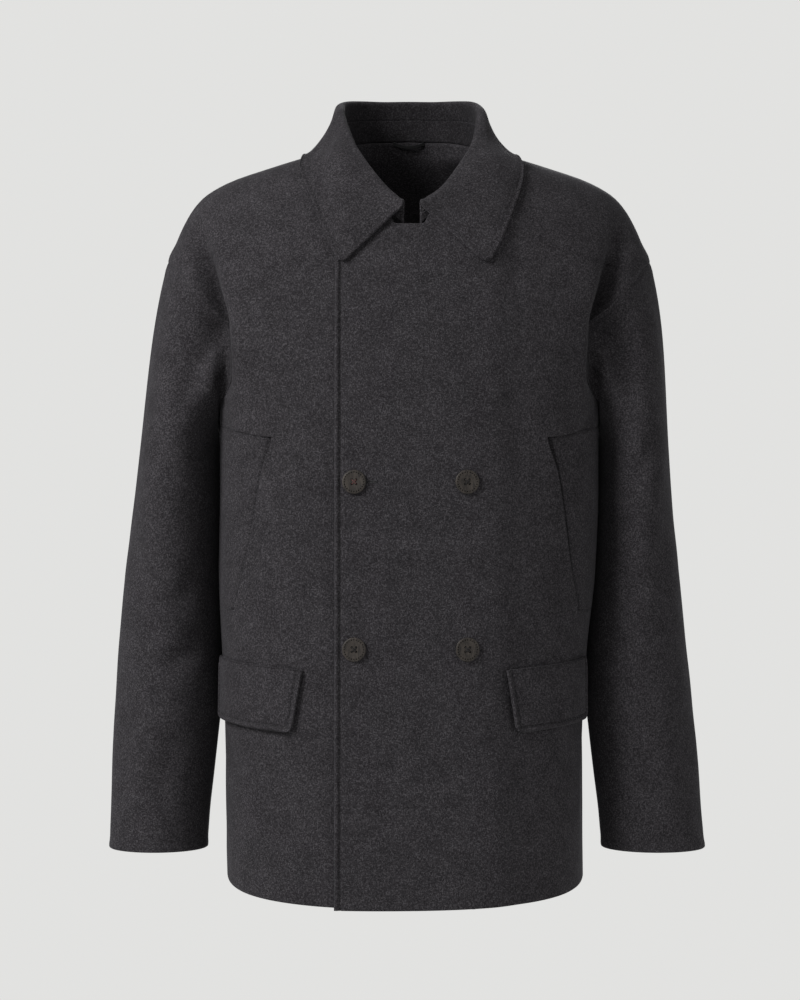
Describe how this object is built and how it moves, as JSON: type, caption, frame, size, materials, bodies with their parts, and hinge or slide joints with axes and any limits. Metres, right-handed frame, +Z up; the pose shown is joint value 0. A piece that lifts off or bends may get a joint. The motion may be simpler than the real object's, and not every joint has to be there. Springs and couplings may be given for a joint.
{
  "type": "pea coat",
  "caption": "Short double-breasted wool coat with a turned-down collar, dropped shoulders, slanted hand pockets and flap pockets, filled out and hollow.",
  "frame": {"origin": "middle of the neck, level with the high points of the shoulders, where the wearer's neck and shoulders hold the coat up", "axes": "+Z up, -Y out of the coat's front, +X to the wearer's left"},
  "size_m": [0.626, 0.3092, 0.8425],
  "materials": {
    "wool": "dark charcoal heather double-faced wool, brushed and matte, with a short nap",
    "horn": "dark brown-grey horn-like, matt with a soft shine on the rim",
    "tape": "narrow black woven tape"
  },
  "bodies": {
    "root": {"front_left": "wool", "front_right": "wool", "hand_pocket_left": "wool", "hand_pocket_right": "wool", "back_left": "wool", "back_right": "wool", "sleeve_left": "wool", "sleeve_right": "wool", "collar_stand": "wool", "collar_leaf": "wool", "pocket_flap_left": "wool", "pocket_flap_right": "wool", "button_1": "horn", "button_2": "horn", "button_3": "horn", "button_4": "horn", "hanger_loop": "tape"}
  },
  "joints": []
}
